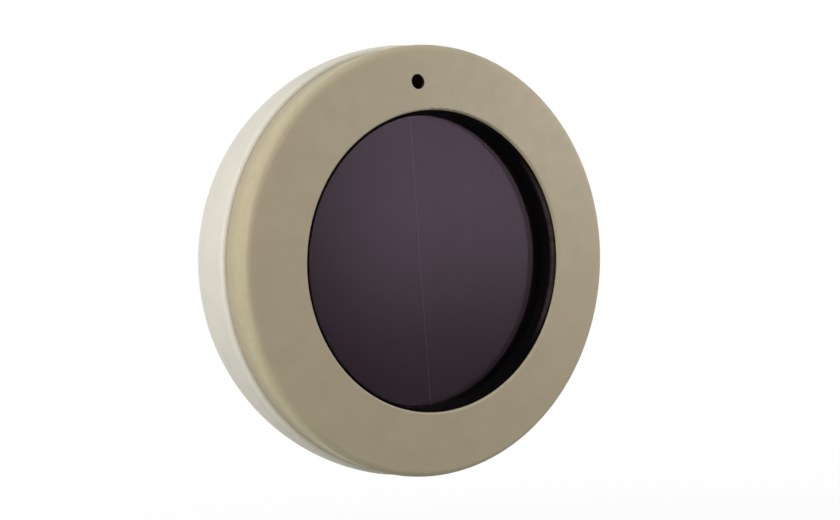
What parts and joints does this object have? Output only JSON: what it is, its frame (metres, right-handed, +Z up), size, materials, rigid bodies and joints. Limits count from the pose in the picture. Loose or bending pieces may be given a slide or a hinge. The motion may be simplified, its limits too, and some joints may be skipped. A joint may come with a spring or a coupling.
{
  "type": "sun sensor",
  "caption": "Round outdoor sun sensor: taupe ring cover, recessed dark solar cell, ivory bowl housing and twist-off wall plate.",
  "frame": {"origin": "middle of the wall plate's back face, which lies on the wall", "axes": "+Y into the wall, +Z up, +X to the right as seen from the front; the cell faces -Y"},
  "size_m": [0.1008, 0.042, 0.1008],
  "materials": {
    "cover": "matte",
    "housing": "satin",
    "bezel": "satin",
    "rubber": "matte",
    "window": "gloss",
    "cell_film": "gloss",
    "cell_backing": "satin",
    "foam": "matte",
    "retainer": "satin",
    "screw_steel": "satin",
    "light_guide": "gloss",
    "led": "gloss",
    "board": "satin",
    "capacitor_case": "satin",
    "metal_can": "satin",
    "chip": "satin",
    "ceramic_parts": "satin",
    "connector": "satin",
    "lead_red": "satin",
    "lead_black": "satin",
    "antenna": "satin",
    "trimmer": "satin",
    "rotor": "satin",
    "dial": "satin",
    "switch": "satin",
    "plunger": "satin",
    "button": "satin",
    "plate": "matte"
  },
  "bodies": {
    "wall_plate": {"wall_plate": "plate"},
    "sensor": {"front_cover": "cover", "cover_seal": "rubber", "light_pipe": "light_guide", "status_led": "led", "cell_bezel": "bezel", "cell_gasket": "rubber", "cell_glass": "window", "solar_cell_left": "cell_film", "solar_cell_right": "cell_film", "cell_backing": "cell_backing", "cell_cushion": "foam", "cell_retainer": "retainer", "retainer_screws": "screw_steel", "rear_housing": "housing", "housing_screws": "screw_steel", "main_pcb": "board", "pcb_screws": "screw_steel", "supercapacitor": "capacitor_case", "radio_module": "metal_can", "microcontroller": "chip", "crystal": "metal_can", "chip_parts": "ceramic_parts", "cell_connector": "connector", "cell_lead_positive": "lead_red", "cell_lead_negative": "lead_black", "antenna_wire": "antenna", "potentiometer_body": "trimmer", "switch_body": "switch", "button_seal": "rubber"},
    "dial": {"threshold_dial": "dial", "dial_seal": "rubber", "potentiometer_rotor": "rotor"},
    "button": {"prog_button": "button", "switch_plunger": "plunger"}
  },
  "joints": [
    {"name": "sensor_twist", "type": "hinge", "parent": "wall_plate", "child": "sensor", "pos_m": [0, 0, 0], "axis": [0, -1, 0], "range_deg": [0, 30]},
    {"name": "dial_turn", "type": "hinge", "parent": "sensor", "child": "dial", "pos_m": [-0.033, 0, 0], "axis": [0, 1, 0], "range_deg": [-130, 130]},
    {"name": "prog_press", "type": "slide", "parent": "sensor", "child": "button", "axis": [0, -1, 0], "range_m": [0, 0.0006], "stiffness_N_per_m": 1500, "springref_m": -0.0002}
  ]
}
